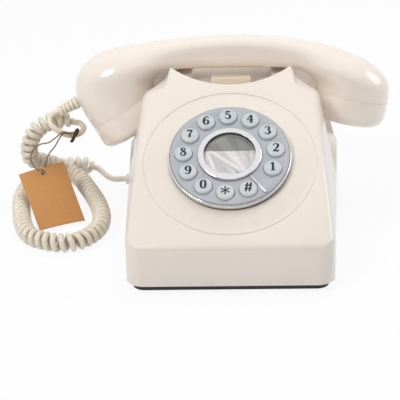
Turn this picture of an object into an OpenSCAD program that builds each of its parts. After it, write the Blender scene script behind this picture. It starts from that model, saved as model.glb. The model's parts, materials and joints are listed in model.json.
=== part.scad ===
// Desk telephone: a moulded case with twelve push keys set round a dial plate,
// a handset lying across a cradle, and a curly cord with a paper tag tied to it.
// Millimetres. +X to the right, +Y to the back, +Z up. The origin is on the table,
// under the middle of the case.

/* [Case] */
// Width of the case at its lower front edge
case_w = 143.6; // [140:0.4:148]
// Depth of the case at its lower edge
case_d = 208; // [204:1:214]
// Height of the case's lower edge above the table
case_lift = 6.8; // [6.4:0.2:8]
// Height of the fold between the front wall and the sloping face
fold_h = 34.9; // [30:0.5:38]
// Slope of the face from the horizontal, in degrees
face_slope = 30.8; // [29:0.2:31.6]
// Flare of the side walls towards the back, in degrees
side_flare = 2.9; // [2.5:0.1:3.2]
// Lean of the side walls above the fold, in degrees
side_draft = 11.7; // [11.3:0.1:12.1]
// Lean of the side walls below the fold, in degrees
skirt_draft = 0.5; // [0:0.1:1.5]
// Lean of the front wall, in degrees
front_draft = 4.5; // [3:0.5:6]
// Lean of the rear wall, in degrees
rear_draft = 3; // [2:0.5:4]
// Wall thickness of the case
case_wall = 2.6; // [2.2:0.1:3]
// Radius of the four upright corners
corner_r = 13; // [9:1:16]
// Radius of the long edges beside the face
edge_r = 5; // [4:0.5:6]
// Radius of the fold
fold_r = 7; // [5:0.5:9]
// Height of the shoulders
shoulder_h = 100.8; // [98:0.4:102]
// Radius of the shoulders
shoulder_r = 8; // [6:0.5:9]
// Half the width of the cradle block where the shoulders meet it
horn_w = 47.6; // [46.5:0.2:50]
// Height at which the shoulders meet the cradle block
horn_base_h = 106.7; // [105:0.4:108]
// Height of the horn tips
horn_h = 116.9; // [115:0.4:118]
// Half the width of the cradle block at the horn tips
horn_tip_w = 43.9; // [42:0.2:45.5]

/* [Cradle] */
// Distance of the handset's rest behind the middle of the case
rest_y = 64; // [62:0.5:66]
// Radius of the trough under the handle
trough_r = 30; // [28:0.5:31]
// Height of the two saddles that carry the handle
saddle_h = 102.4; // [102:0.1:102.8]
// Depth of the trough's floor below the saddles
trough_drop = 6.4; // [5.6:0.2:8]
// Half the length of the trough between the two saddles
trough_half = 30; // [26:0.5:32]
// Radius of the two saddles
saddle_r = 24; // [23:0.5:26]
// Height of the middle of the front lip above the saddles
lip_rise = 5; // [4.2:0.2:6]
// Radius of the scooped lips
lip_r = 65.6; // [62:0.5:70]
// Height of the middle of the rear lip above the saddles
rear_lip_rise = 5; // [2:0.2:7]
// Radius of the rear lip
rear_lip_r = 96; // [90:1:110]
// Radius of the scoop in each flank that a handset cup hangs in
flank_r = 34; // [33.5:0.5:36]
// Distance of the scoops' axes from the middle
flank_x = 78; // [77.5:0.5:80]
// Distance of the scoops' axes behind the middle of the case
flank_y = 53.5; // [52:0.5:55]
// Length of the scoops' straight stretch
flank_l = 9; // [7:0.5:11]
// Depth of the scoops' floors beside the cradle block, below the saddles
flank_drop = 46.4; // [45:0.4:50]
// Slope of the scoops' floors, in degrees
flank_slope = 31; // [26:1:34]

/* [Dial] */
// Distance along the face from the fold to the dial's centre
dial_t = 72; // [70:0.5:74]
// Radius of the fine groove round the dial
groove_r = 61.3; // [58:0.5:62]
// Height of the mound that the dial stands on
mound_h = 3; // [2:0.5:4]
// Radius of the mound's top
mound_r = 46; // [45:0.5:48]
// Radius of the well in the mound
well_r = 41; // [40.6:0.2:41.4]
// Outer radius of the chromed rim
rim_r = 43.3; // [42.9:0.1:44]
// Radius of the dial plate
plate_r = 42.1; // [41.8:0.1:42.3]
// Thickness of the dial plate
plate_t = 2.8; // [2.4:0.1:3.2]
// Height of the plate's top above the mound
plate_rise = 5.8; // [5:0.2:7]
// Outer radius of the chromed centre ring
ring_r = 22.8; // [22:0.1:23.6]
// Radius of the label under its window
label_r = 18.2; // [17:0.1:18.6]

/* [Keys] */
// Radius of the circle that the keys stand on
key_circle = 32.6; // [32.2:0.1:33]
// Radius of a key's cap
key_r = 6.3; // [5.6:0.1:6.5]
// Height of a key's cap above the plate
key_rise = 2; // [1.8:0.1:3]
// Travel of a key
key_travel = 1.6; // [1:0.1:1.8]
// Angle from one key to the next, in degrees
key_step = 28.75; // [28.5:0.25:29]
// Angle of the first key from the right, in degrees
key_first = -22.7; // [-24:0.1:-21]
// Clearance round a key
key_gap = 0.3; // [0.2:0.05:0.5]

/* [Handset] */
// Forward lean of the handset, in degrees
handset_roll = 11; // [9:1:12]
// Radius of the two cups
cup_r = 28; // [27:0.2:28.2]
// Tilt of the mouthpiece cup, in degrees
mouth_tilt = 31; // [29:1:32]
// Tilt of the earpiece cup, in degrees
ear_tilt = 12.5; // [10:0.5:15]
// Depth of the mouthpiece cap
mouth_cap_d = 20; // [17:0.5:21]
// Depth of the earpiece cap
ear_cap_d = 20; // [17:0.5:22]
// Wall of the cups and caps
cup_wall = 3; // [2.4:0.1:3.6]

/* [Base] */
// Height of the rubber feet
foot_h = 1.8; // [1.4:0.2:2.4]
// Radius of the rubber feet
foot_r = 8; // [6:0.5:10]
// Thickness of the base pan's floor
pan_floor = 2.5; // [2.3:0.1:3]
// Height of the base pan's rim inside the case
pan_rim = 6; // [5:0.5:7]
// Set-back of the base pan behind the case's edge
pan_inset = 4.4; // [4:0.1:4.8]

/* [Cord] */
// Outer diameter of the curly cord
curl_d = 14.4; // [13.6:0.2:14.6]
// Diameter of the cord itself
wire_d = 4.6; // [4:0.1:4.8]
// Diameter of the tag's twine
twine_d = 1.6; // [1.2:0.1:1.8]
// Width of the paper tag
tag_w = 36; // [32:1:38]
// Length of the paper tag
tag_l = 52; // [46:1:54]
// Thickness of the paper tag
tag_t = 1; // [0.6:0.1:1.2]

/* [Hidden] */
$fn = 64;

cream = "#f3e8dc";
ivory = "#eee3cc";
black = "#1b1b1d";
chrome = "#c9cbd0";
lilac = "#c3c6d2";
key_blue = "#cddbe3";
kraft = "#cd9253";

slip = 0.3;          // clearance between pieces that move past each other
snug = 0.1;          // clearance between pieces that are pressed together by hand
over = 1;            // how far a cutter reaches past what it cuts
clean_cut = 0.03;    // how far a rounding stops short of its tangent, so that it meets each face at an edge
top_r = 4;           // radius of the horn tips
nook_r = 5;          // radius where a horn meets its shoulder
boss_r = 4.2;        // radius of the screw bosses
screw_r = 1.4;       // radius of a screw's shank
screw_x = case_w / 2 - 13.8;        // places of the four screws
screw_y = case_d / 2 - 42;
foot_x = case_w / 2 - 19.8;         // places of the four feet
foot_y = case_d / 2 - 16;
handle_under = 15.3; // lowest point of the leaning handle below its axis, over the saddles
seat_gap = 0.3;      // gap between the handle and its saddles
handle_h = saddle_h + seat_gap + handle_under;     // height of the handle's axis
trough_h = saddle_h - trough_drop;
flank_h = saddle_h - flank_drop;
rear_lip_h = saddle_h + rear_lip_rise;
lip_t = (saddle_h + lip_rise - fold_h) / sin(face_slope);   // from the fold, along the face
hold_w = 74;         // hand-hold in the rear wall
hold_t = 22;
hold_h = 76;
hold_depth = 18;
hook_w = 30;         // the hook bar's cap
hook_d = 12;
hook_corner = 1.5;
hook_y = rest_y - 14;
hook_top = saddle_h + 0.8;
hook_stem_w = 18;
hook_stem_d = 4;
hook_rise = 6;
guide_h = 16;        // the hook bar's guide under the trough
guide_wall = 2;
jack_w = 13;         // the socket that the handset's cord plugs into
jack_h = 8;
jack_y = case_d / 2 - 30;
line_w = 15;         // the socket for the line
line_h = 13;
line_x = 38;
line_z = 8;
line_depth = 18;
line_mouth_w = 10.2;
line_mouth_h = 7.6;
line_mouth_d = 12;
groove_w = 0.9;      // side of the square section that cuts the fine groove
pan_top = foot_h + pan_floor;
jack_z = pan_top + slip;
screw_l = 14;
screw_head_r = 3;
screw_head_h = 1.5;
vent_step = 7;       // slots under the bell
vent_w = 2.5;
vent_l = 34;
vent_y = -8;

function unit(v) = v / norm(v);
// A polygon's points with every side moved inwards by d
function shrunk(pts, d) = [for (i = [0 : len(pts) - 1]) let (
    n = len(pts), u = unit(pts[i] - pts[(i + n - 1) % n]), v = unit(pts[(i + 1) % n] - pts[i]),
    a = [-u[1], u[0]], b = [-v[1], v[0]]) pts[i] + d * (a + b) / (1 + a * b)];
function front_y() = -case_d / 2;
function rear_y() = case_d / 2;
fold_y = front_y() + (fold_h - case_lift) * tan(front_draft);
function face_y(z) = fold_y + (z - fold_h) / tan(face_slope);
function back_y(z) = rear_y() - (z - case_lift) * tan(rear_draft);
// Half the width of the case at depth y and height z
function wall_x(y, z) = case_w / 2 + (y - front_y()) * tan(side_flare)
    - ((min(z, fold_h) - case_lift) * tan(skirt_draft) + max(z - fold_h, 0) * tan(side_draft)) / cos(side_flare);
// The outward direction of the side wall on side s, where it leans by that draft
function side_n(s, draft) = [s * cos(side_flare) * cos(draft), -sin(side_flare) * cos(draft), sin(draft)];

// The piece of a corner at b, between a and c, that lies outside an arc of radius r
module corner_sliver(a, b, c, r) {
    u = unit(a - b);
    v = unit(c - b);
    half = acos(u * v) / 2;
    mid = b + unit(u + v) * r / sin(half);
    difference() {
        polygon([b - unit(u + v) * r / 4, b + u * r / tan(half), mid, b + v * r / tan(half)]);
        translate(mid) circle(r + clean_cut);
    }
}

// Children stand at p with +Z along q - p and +X near side
module along(p, q, side) {
    z = unit(q - p);
    x = unit(side - (side * z) * z);
    y = cross(z, x);
    multmatrix([[x[0], y[0], z[0], p[0]], [x[1], y[1], z[1], p[1]], [x[2], y[2], z[2], p[2]], [0, 0, 0, 1]])
        children();
}

// Cutter that rounds the edge through p, where the planes with outward normals n1 and n2 meet
module edge_round(p, n1, n2, r, reach) {
    dir = unit(cross(n1, n2));
    half = acos(n1 * n2) / 2;
    back = r / cos(half);
    along(p - reach * dir, p + reach * dir, n1 + n2)
        linear_extrude(2 * reach) difference() {
            polygon([[r / 4, 0], [r * cos(half) - back, r * sin(half)], [-back, 0],
                [r * cos(half) - back, -r * sin(half)]]);
            translate([-back, 0]) circle(r + clean_cut);
        }
}

// Extrudes a (y, z) outline along X, centred
module along_x(length) rotate([90, 0, 90]) linear_extrude(length, center = true) children();

// Extrudes an (x, z) outline along Y, centred
module along_y(length) rotate([90, 0, 0]) linear_extrude(length, center = true) children();

// Stands children on the face, at distance t up the slope and height n above it
module on_face(t, n = 0) translate([0, fold_y, fold_h]) rotate([face_slope, 0, 0]) translate([0, t, n]) children();

// Stands children on the dial's axis, at height n above the mound
module on_dial(n = 0) on_face(dial_t, mound_h + n) children();

// ---- Case ----

// The case's outline seen from the side, as (y, z)
function side_outline(bottom) = [[front_y() - (case_lift - bottom) * -tan(front_draft), bottom],
    [rear_y(), bottom], [rear_y() - (horn_h - case_lift) * tan(rear_draft), horn_h], [face_y(horn_h), horn_h],
    [fold_y, fold_h]];

shoulder_x = wall_x(face_y(shoulder_h), shoulder_h);
shoulder_fall = (horn_base_h - shoulder_h) / (shoulder_x - horn_w);

// The case's outline seen from the front, as (x, z), as if the shoulders ran on past the side walls
function front_outline(bottom) = [[-case_w, bottom], [case_w, bottom],
    [case_w, shoulder_h - (case_w - shoulder_x) * shoulder_fall], [horn_w, horn_base_h], [horn_tip_w, horn_h],
    [-horn_tip_w, horn_h], [-horn_w, horn_base_h], [-case_w, shoulder_h - (case_w - shoulder_x) * shoulder_fall]];

// Everything beyond the plane that lies t behind point p and faces n
module beyond(p, n, t) along(p - t * n, p - t * n + n, [0, 0, 1])
    translate([-2 * case_d, -2 * case_d, 0]) cube(4 * case_d);

// The case as a solid with every wall moved inwards by t
module case_block(t, bottom) {
    side = shrunk(side_outline(bottom), t);
    front = shrunk(front_outline(bottom), t);
    round_in = max(edge_r - t, 1);
    face_n = [0, -sin(face_slope), cos(face_slope)];
    front_n = [0, -cos(front_draft), sin(front_draft)];
    rear_n = [0, cos(rear_draft), sin(rear_draft)];
    difference() {
        intersection() {
            along_x(2 * case_w) difference() {
                polygon(side);
                corner_sliver(side[0], side[4], side[3], fold_r - t);
                corner_sliver(side[4], side[3], side[2], top_r);
                corner_sliver(side[3], side[2], side[1], max(top_r - t, 1));
            }
            along_y(case_d + 2 * over) difference() {
                union() {
                    polygon(front);
                    corner_sliver(front[2], front[3], front[4], nook_r + t);
                    corner_sliver(front[5], front[6], front[7], nook_r + t);
                }
                corner_sliver(front[3], front[4], front[5], max(top_r - t, 1));
                corner_sliver(front[4], front[5], front[6], max(top_r - t, 1));
            }
        }
        for (s = [-1, 1]) {
            skirt_n = side_n(s, skirt_draft);
            upper_n = side_n(s, side_draft);
            roof_n = unit([s * shoulder_fall, 0, 1]);
            beyond([s * case_w / 2, front_y(), case_lift], skirt_n, t);
            beyond([s * wall_x(fold_y, fold_h), fold_y, fold_h], upper_n, t);
            wall_edge([s * case_w / 2, front_y(), case_lift], skirt_n, front_n, t, corner_r - t);
            wall_edge([s * wall_x(rear_y(), case_lift), rear_y(), case_lift], skirt_n, rear_n, t, corner_r - t);
            wall_edge([s * wall_x(back_y(fold_h), fold_h), back_y(fold_h), fold_h], upper_n, rear_n, t, corner_r - t);
            wall_edge([s * wall_x(fold_y, fold_h), fold_y, fold_h], upper_n, face_n, t, round_in);
            wall_edge([s * shoulder_x, face_y(shoulder_h), shoulder_h], upper_n, roof_n, t, shoulder_r - t);
        }
    }
}

// Rounds the edge through p between two planes that have moved inwards by t
module wall_edge(p, n1, n2, t, r) edge_round(p - t * (n1 + n2) / (1 + n1 * n2), n1, n2, r, case_d);

// What the cradle takes out of the case, grown by t
module cradle_space(t) {
    translate([0, rest_y, trough_h + trough_r]) rotate([0, 90, 0])
        cylinder(r = trough_r + t, h = 2 * (trough_half + t), center = true);
    translate([0, rest_y, saddle_h + saddle_r]) rotate([0, 90, 0])
        cylinder(r = saddle_r + t, h = case_w, center = true);
    intersection() {
        on_face(lip_t + lip_r, -lip_r) cylinder(r = lip_r + t, h = 2 * lip_r);
        translate([0, rest_y, 0]) union() {
            translate([-trough_half - t, -case_d / 2, trough_h - t]) cube([2 * (trough_half + t), case_d / 2, horn_h]);
            translate([-case_w / 2, -case_d / 2, saddle_h - t]) cube([case_w, case_d / 2, horn_h]);
        }
    }
    translate([0, rear_y(), rear_lip_h + rear_lip_r]) rotate([90, 0, 0])
        cylinder(r = rear_lip_r + t, h = rear_y() - rest_y);
}

// What the scoops for the handset's cups take out of the flanks, grown by t
module flank_space(t) for (s = [-1, 1]) difference() {
    translate([s * flank_x, flank_y, 0]) {
        cylinder(r = flank_r + t, h = horn_h + over);
        translate([0, flank_l, 0]) cylinder(r = flank_r + t, h = horn_h + over);
        translate([-flank_r - t, 0, 0]) cube([2 * (flank_r + t), flank_l, horn_h + over]);
    }
    translate([s * (flank_x - flank_r), 0, flank_h - t / cos(flank_slope)]) rotate([0, s * flank_slope, 0])
        translate([0, 0, -case_w / 2]) cube([2 * case_w, 2 * case_d, case_w], center = true);
}

// The hand-hold behind the cradle, grown by t
module hold_space(t) translate([0, rear_y(), hold_h]) rotate([90, 0, 0]) linear_extrude(2 * (hold_depth + t), center = true)
    rounded(hold_w + 2 * t, hold_t + 2 * t, hold_t / 4 + t);

module case_outside() difference() {
    union() {
        case_block(0, case_lift);
        on_face(dial_t, -over) cylinder(r1 = groove_r, r2 = mound_r, h = mound_h + over);
    }
    cradle_space(0);
    flank_space(0);
    hold_space(0);
}

module case_inside() difference() {
    case_block(case_wall, case_lift - 2 * case_wall);
    cradle_space(case_wall);
    flank_space(case_wall);
    hold_space(case_wall);
}

module case_cover() color(cream) {
    difference() {
        union() {
            difference() {
                case_outside();
                case_inside();
            }
            intersection() {
                case_outside();
                for (x = [-1, 1], y = [-1, 1]) translate([x * screw_x, y * screw_y, case_lift])
                    cylinder(r = boss_r, h = horn_h);
            }
            for (x = [-1, 1], y = [-1, 1]) translate([x * screw_x, y * screw_y, pan_top])
                cylinder(r = boss_r, h = case_lift);
            translate([0, hook_y, trough_h - guide_h]) linear_extrude(guide_h)
                square([hook_stem_w + 2 * slip + 2 * guide_wall, hook_stem_d + 2 * slip + 2 * guide_wall], center = true);
        }
        for (x = [-1, 1], y = [-1, 1]) translate([x * screw_x, y * screw_y, pan_top - over])
            cylinder(r = screw_r + snug, h = screw_l);
        translate([0, hook_y, trough_h - guide_h - over]) linear_extrude(guide_h + 2 * over)
            square([hook_stem_w + 2 * slip, hook_stem_d + 2 * slip], center = true);
        on_face(dial_t, -2 * case_wall) cylinder(r = well_r, h = 4 * case_wall + mound_h);
        on_face(dial_t, 0) rotate_extrude() translate([groove_r, 0]) rotate(45) square(groove_w, center = true);
        translate([-jack_mouth_x, jack_y, jack_z + jack_h / 2 - over])
            cube([case_w / 6, jack_w + 2 * snug, jack_h + 2 * over], center = true);
        translate([line_x, rear_y(), line_z + line_h / 2 - over])
            cube([line_w + 2 * snug, case_w / 6, line_h + 2 * over], center = true);
    }
}

// ---- Base ----

// A rounded rectangle, w wide along X and d deep along Y
module rounded(w, d, r) {
    square([w - 2 * r, d], center = true);
    square([w, d - 2 * r], center = true);
    for (x = [-1, 1], y = [-1, 1]) translate([x * (w / 2 - r), y * (d / 2 - r)]) circle(r);
}

// The case's lower edge seen from above, moved inwards by t
module plan(t) {
    rear_x = wall_x(rear_y(), case_lift);
    pts = shrunk([[-case_w / 2, front_y()], [case_w / 2, front_y()], [rear_x, rear_y()], [-rear_x, rear_y()]], t);
    difference() {
        polygon(pts);
        for (i = [0 : 3]) corner_sliver(pts[(i + 3) % 4], pts[i], pts[(i + 1) % 4], corner_r - t);
    }
}

rim_back = case_wall + pan_rim * tan(front_draft) + 2 * slip;   // from the case's edge to the pan's rim
pan_wall = 3;

module base_pan() color(black) difference() {
    union() {
        translate([0, 0, foot_h]) linear_extrude(case_lift - foot_h + pan_rim) plan(pan_inset);
        translate([0, 0, case_lift]) linear_extrude(pan_rim) plan(rim_back);
    }
    translate([0, 0, pan_top]) linear_extrude(case_lift + pan_rim) plan(rim_back + pan_wall);
    for (x = [-1, 1], y = [-1, 1]) translate([x * screw_x, y * screw_y, foot_h - over]) {
        cylinder(r = screw_r + snug, h = pan_floor + 2 * over);
        cylinder(r = screw_head_r + slip, h = screw_head_h + snug + over);
    }
    for (i = [-4 : 4]) translate([i * vent_step, vent_y, foot_h - over]) linear_extrude(pan_floor + 2 * over)
        square([vent_w, vent_l], center = true);
    translate([-jack_mouth_x, jack_y, jack_z + case_lift])
        cube([case_w / 6, jack_w + 2 * snug, 2 * case_lift], center = true);
    translate([line_x, rear_y(), line_z + case_lift])
        cube([line_w + 2 * snug, case_w / 6, 2 * case_lift], center = true);
}

module rubber_feet() color(black) for (x = [-1, 1], y = [-1, 1]) translate([x * foot_x, y * foot_y, 0])
    rotate_extrude() difference() {
        square([foot_r, foot_h]);
        corner_sliver([0, 0], [foot_r, 0], [foot_r, foot_h], foot_h / 2);
    }

module cover_screws() color(chrome) for (x = [-1, 1], y = [-1, 1]) translate([x * screw_x, y * screw_y, foot_h + snug])
    difference() {
        union() {
            cylinder(r = screw_head_r, h = screw_head_h);
            cylinder(r = screw_r, h = screw_l);
        }
        for (a = [0, 90]) rotate(a) cube([screw_head_r * 1.2, screw_head_r / 4, screw_head_h], center = true);
    }

// ---- Dial ----

module dial_rim() color(chrome) on_dial() rotate_extrude() difference() {
    translate([well_r + slip, 0]) square([rim_r - well_r - slip, plate_rise - plate_t / 3]);
    translate([well_r, plate_rise - plate_t]) square([plate_r + snug - well_r, plate_t]);
    corner_sliver([rim_r, 0], [rim_r, plate_rise - plate_t / 3], [well_r, plate_rise - plate_t / 3], (rim_r - plate_r) / 2);
}

// Angle of key number i, counted anticlockwise from the first
function key_angle(i) = key_first + i * key_step;
module at_key(i) rotate(key_angle(i)) translate([key_circle, 0]) rotate(-key_angle(i)) children();

module dial_plate() color(lilac) on_dial(plate_rise - plate_t) difference() {
    rotate_extrude() difference() {
        translate([spigot_r + snug, 0]) square([plate_r - spigot_r - snug, plate_t]);
        corner_sliver([plate_r, 0], [plate_r, plate_t], [0, plate_t], plate_t / 3);
    }
    for (i = [0 : 11]) at_key(i) translate([0, 0, -over]) cylinder(r = key_r + key_gap, h = plate_t + 2 * over);
}

spigot_t = 1;        // wall of the centre ring's spigot through the plate
spigot_r = label_r + spigot_t;
stop_angle = -52;
stop_h = 0.9;
stop_root = 1.2;     // width of the finger stop beside the ring
stop_end = 2.2;      // its width beside the rim

module finger_stop() color(chrome) on_dial(plate_rise) rotate(stop_angle) linear_extrude(stop_h)
    polygon([[ring_r + slip, -stop_root / 2], [plate_r - plate_t / 3, -stop_end / 2],
        [plate_r - plate_t / 3, stop_end / 2], [ring_r + slip, stop_root / 2]]);

ring_rise = 1.7;
ledge_t = 0.8;
ledge_w = 2;
label_t = 0.6;
window_t = 1.6;
window_edge = 0.5;

module centre_ring() color(chrome) on_dial(plate_rise) rotate_extrude() {
    difference() {
        translate([label_r + snug, 0]) square([ring_r - label_r - snug, ring_rise]);
        corner_sliver([ring_r, 0], [ring_r, ring_rise], [label_r, ring_rise], ring_rise * 0.8);
    }
    translate([label_r + snug, -plate_t]) square([spigot_r - label_r - snug, plate_t + ring_rise / 2]);
    translate([label_r - ledge_w, -plate_t]) square([ledge_w + 2 * snug, ledge_t]);
}

module label_card() color("white") on_dial(plate_rise - plate_t + ledge_t) cylinder(r = label_r, h = label_t);

module label_window() color(lilac, 0.4) on_dial(plate_rise - plate_t + ledge_t + label_t) rotate_extrude() difference() {
    square([label_r, window_t]);
    corner_sliver([label_r, 0], [label_r, window_t], [0, window_t], window_edge);
}

// Levels in the keypad, below the underside of the dial plate
flange_t = 1;
foot_len = 1.2;      // from a key's flange to its foot
stack_gap = slip / 1.5;
board_t = 1.6;
membrane_t = 1;
frame_t = 2;
hub_r = 24;
hub_wall = 3;
membrane_top = plate_rise - plate_t - stack_gap - flange_t - foot_len - key_travel - stack_gap;

module keypad_membrane() color("#8d9096") on_dial(membrane_top - membrane_t) linear_extrude(membrane_t) difference() {
    circle(well_r - 2 * slip);
    circle(hub_r + slip);
}

module keypad_board() color("#2f6b4a") on_dial(membrane_top - membrane_t - board_t) linear_extrude(board_t) difference() {
    circle(well_r - 2 * slip);
    circle(hub_r + slip);
}

module keypad_frame() color(black) on_dial(membrane_top - membrane_t - board_t - frame_t) {
    difference() {
        union() {
            cylinder(r = well_r - slip, h = frame_t);
            cylinder(r = hub_r, h = plate_rise - plate_t - (membrane_top - membrane_t - board_t - frame_t));
        }
        translate([0, 0, -over]) cylinder(r = hub_r - hub_wall, h = 4 * plate_rise);
    }
}

flange_lip = 0.7;
key_foot_r = 2.4;
key_edge = 1.3;      // radius of a cap's upper edge
key_h = flange_t + stack_gap + plate_t + key_rise;

module key(i) color(key_blue) on_dial(plate_rise - plate_t - stack_gap - flange_t) at_key(i) {
    rotate_extrude() difference() {
        square([key_r, key_h]);
        corner_sliver([key_r, 0], [key_r, key_h], [0, key_h], key_edge);
    }
    cylinder(r = key_r + flange_lip, h = flange_t);
    translate([0, 0, -foot_len]) cylinder(r = key_foot_r, h = foot_len);
}

module key_1() key(0);
module key_2() key(1);
module key_3() key(2);
module key_4() key(3);
module key_5() key(4);
module key_6() key(5);
module key_7() key(6);
module key_8() key(7);
module key_9() key(8);
module key_0() key(9);
module key_star() key(10);
module key_hash() key(11);

// ---- Hook switch ----

module hook_bar() color(ivory) {
    translate([0, hook_y, trough_h + slip]) linear_extrude(hook_top - trough_h - slip) rounded(hook_w, hook_d, hook_corner);
    translate([0, hook_y, trough_h - guide_h - hook_rise])
        linear_extrude(guide_h + hook_rise + (hook_top - trough_h) / 2 + slip) square([hook_stem_w, hook_stem_d], center = true);
}

switch_w = 24;
switch_d = 12;
switch_h = 14;

module hook_switch() color(black) {
    base = trough_h - guide_h - hook_rise - slip - switch_h;
    translate([-switch_w / 2, hook_y - switch_d / 2, base]) cube([switch_w, switch_d, switch_h]);
    for (s = [-1, 1]) translate([s * (switch_w / 2 + guide_wall / 2), hook_y, 0])
        translate([-guide_wall / 2, -switch_d / 2, base]) cube([guide_wall, switch_d, trough_h - case_wall - slip - base]);
}

// ---- Inside the case ----

board_w = 96;        // the circuit board
board_d = 62;
board_y = case_d / 2 - 58;          // its middle
board_lift = 4;      // height of its posts
post_r = 3;
post_x = 40;         // places of its posts, from its middle
post_y = 24;

module main_board() color("#2f6b4a") translate([0, board_y, pan_top]) difference() {
    union() {
        translate([-board_w / 2, -board_d / 2, board_lift]) cube([board_w, board_d, board_t]);
        for (x = [-1, 1], y = [-1, 1]) translate([x * post_x, y * post_y, 0]) cylinder(r = post_r, h = board_lift + over / 2);
    }
    for (x = [-1, 1], y = [-1, 1]) translate([x * post_x, y * post_y, board_lift / 2]) cylinder(r = screw_r, h = 2 * board_lift);
}

bell_y = board_y - 64;              // the bell's middle
bracket_t = 1.5;
bracket_d = 34;
bracket_corner = 4;
gong_r = 22;
gong_x = 30;         // distance of the gongs' axes from the middle
gong_h = 15;
gong_skirt = 5;      // length of a gong's straight rim
gong_t = 1.4;
gong_dome_r = 1.5 * gong_r;
gong_post_h = 13;
pivot_y = bell_y + 12;              // place of the clapper's pin
pivot_r = 1.5;
clapper_z = pan_top + gong_post_h;
clapper_r = 4;       // the ball that strikes the gongs
clapper_t = 3;
coil_y = bell_y + 22;
coil_w = 12;
coil_h = 16;
coil_corner = 3;

module ringer_bracket() color(chrome) translate([0, 0, pan_top]) {
    translate([0, bell_y, 0]) linear_extrude(bracket_t) rounded(2 * (gong_x + gong_r / 2), bracket_d, bracket_corner);
    translate([0, coil_y, 0]) linear_extrude(bracket_t) square([coil_w, coil_w + 2 * over], center = true);
    for (s = [-1, 1]) translate([s * gong_x, bell_y, 0]) cylinder(r = post_r, h = gong_post_h);
    translate([0, pivot_y, 0]) cylinder(r = pivot_r, h = gong_post_h + clapper_t + over);
    translate([0, pivot_y, 0]) cylinder(r = 2 * pivot_r, h = gong_post_h - snug);
}

// A gong's outline on one side of its axis, moved inwards by t
module gong_half(t) intersection() {
    translate([0, gong_h - gong_dome_r - t]) circle(gong_dome_r);
    translate([-over, -gong_skirt - t]) square([gong_r - t + over, gong_h + gong_skirt + t]);
}

module ringer_gongs() color(chrome) for (s = [-1, 1]) translate([s * gong_x, bell_y, pan_top + gong_post_h])
    rotate_extrude() intersection() {
        difference() {
            gong_half(0);
            difference() {
                gong_half(gong_t);
                translate([-2 * over, 0]) square([post_r + 2 * over, gong_h]);
            }
        }
        translate([0, -gong_skirt]) square([gong_r, gong_h + gong_skirt]);
    }

module ringer_coil() color("#8a4b26") translate([0, coil_y, pan_top + bracket_t]) linear_extrude(coil_h)
    rounded(coil_w, coil_w, coil_corner);

module ringer_clapper() color(chrome) translate([0, pivot_y, clapper_z]) difference() {
    union() {
        cylinder(r = 2 * pivot_r, h = clapper_t);
        translate([-clapper_t / 4, bell_y - pivot_y, clapper_t / 4]) cube([clapper_t / 2, pivot_y - bell_y, clapper_t / 2]);
        translate([0, bell_y - pivot_y, clapper_t / 2]) sphere(r = clapper_r);
    }
    translate([0, 0, -over]) cylinder(r = pivot_r + snug, h = clapper_t + 2 * over);
}

module socket_block(w, depth, h, mouth_w, mouth_h, mouth_d) difference() {
    translate([-w / 2, 0, 0]) cube([w, depth, h]);
    translate([-mouth_w / 2, -over, (h - mouth_h) / 2]) cube([mouth_w, mouth_d + over, mouth_h]);
}

plug_w = 8;
plug_h = 6;
plug_in = 11;        // how far the plug reaches into its socket
plug_out = 5;
jack_depth = 16;
jack_mouth_x = wall_x(jack_y - jack_w / 2, jack_z + jack_h);

module handset_jack() color(black) translate([-jack_mouth_x, jack_y, jack_z]) rotate(-90)
    socket_block(jack_w, jack_depth, jack_h, plug_w + 2 * snug, plug_h + 2 * snug, plug_in + slip);

module line_jack() color(black) translate([line_x, rear_y() - rear_inset, line_z]) rotate(180)
    socket_block(line_w, line_depth, line_h, line_mouth_w, line_mouth_h, line_mouth_d);
rear_inset = 1.2;

// ---- Handset ----

module handset() translate([0, rest_y, handle_h]) rotate([-handset_roll, 0, 0]) children();

mouth_c = [-82.3, -42.1];     // centre of the mouthpiece cup's seam, as (x, z) from the handle's axis
ear_c = [90.7, -35.1];        // centre of the earpiece cup's seam
module at_mouth() handset() translate([mouth_c[0], 0, mouth_c[1]]) rotate([0, 180 - mouth_tilt, 0]) children();
module at_ear() handset() translate([ear_c[0], 0, ear_c[1]]) rotate([0, 180 + ear_tilt, 0]) children();
// The place of a point that is given from the handle's axis
function on_handset(p) = [p[0], rest_y + p[1] * cos(handset_roll) + p[2] * sin(handset_roll),
    handle_h - p[1] * sin(handset_roll) + p[2] * cos(handset_roll)];

mouth_out = mouth_c - cup_r * [cos(mouth_tilt), sin(mouth_tilt)];
mouth_in = mouth_c + cup_r * [cos(mouth_tilt), sin(mouth_tilt)];
ear_out = ear_c + cup_r * [cos(ear_tilt), -sin(ear_tilt)];
ear_in = ear_c - cup_r * [cos(ear_tilt), -sin(ear_tilt)];

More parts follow.
